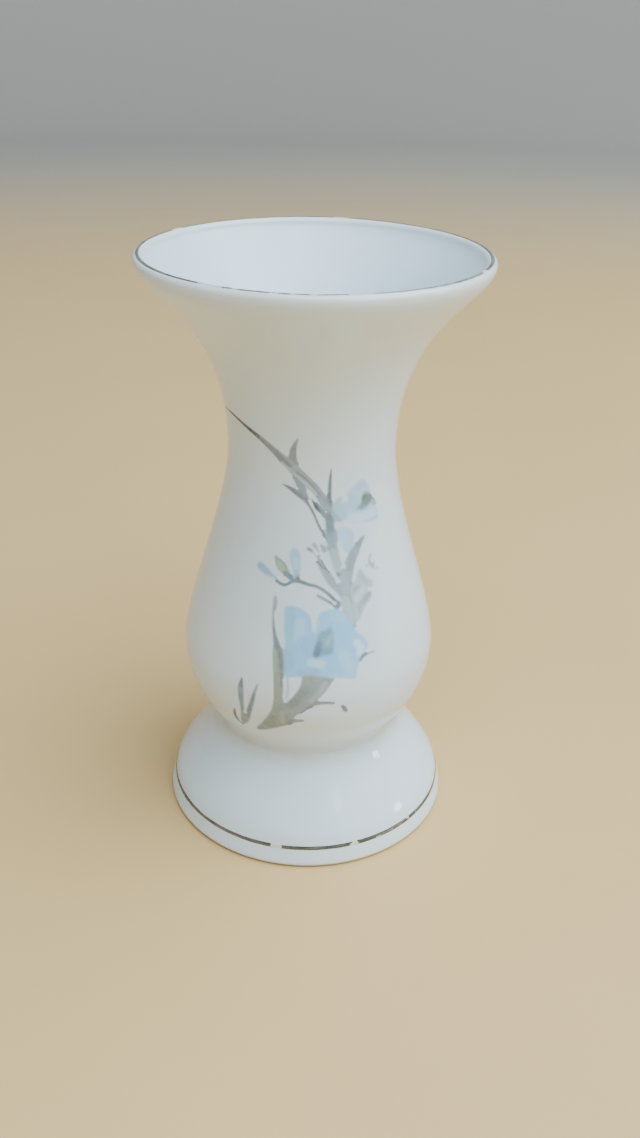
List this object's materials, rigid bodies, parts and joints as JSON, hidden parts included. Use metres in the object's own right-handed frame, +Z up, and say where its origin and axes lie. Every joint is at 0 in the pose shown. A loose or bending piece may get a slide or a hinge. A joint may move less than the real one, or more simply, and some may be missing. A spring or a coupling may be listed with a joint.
{
  "type": "flower vase",
  "caption": "Porcelain flower vase with a flared mouth, slim neck, rounded belly and flared foot, metal lines at rim and foot and a spray of blue flowers.",
  "frame": {"origin": "centre of the foot's underside, on the surface that the vase stands on", "axes": "+Z up along the vase's axis; the flowers face -Y; +X to the right of someone who faces the flowers"},
  "size_m": [0.096, 0.096, 0.175],
  "materials": {
    "glazed_porcelain": "white porcelain under a clear, glossy, slightly blue glaze",
    "platinum_lustre": "thin fired-on platinum lustre, slightly worn",
    "grey_leaf_enamel": "fired-on grey-green enamel, glossy",
    "olive_enamel": "fired-on olive green enamel, glossy",
    "pale_grey_enamel": "fired-on pale grey enamel, glossy",
    "blue_enamel": "fired-on light blue enamel, glossy, washed out towards its edges",
    "pale_blue_enamel": "fired-on very pale blue enamel, glossy",
    "slate_blue_enamel": "fired-on dark slate blue enamel, glossy"
  },
  "bodies": {
    "root": {"vessel": "glazed_porcelain", "foot": "glazed_porcelain", "rim_line": "platinum_lustre", "foot_line": "platinum_lustre", "long_leaf": "grey_leaf_enamel", "upper_leaves": "grey_leaf_enamel", "upper_stem": "grey_leaf_enamel", "upper_petals": "pale_blue_enamel", "upper_throat": "olive_enamel", "bud_stem": "grey_leaf_enamel", "blue_buds": "blue_enamel", "green_bud": "olive_enamel", "left_twigs": "pale_grey_enamel", "right_twigs": "pale_grey_enamel", "main_petals": "blue_enamel", "main_throat": "slate_blue_enamel", "tall_leaf": "olive_enamel", "lower_stem": "olive_enamel", "tendrils": "olive_enamel", "ground_leaves": "grey_leaf_enamel"}
  },
  "joints": []
}
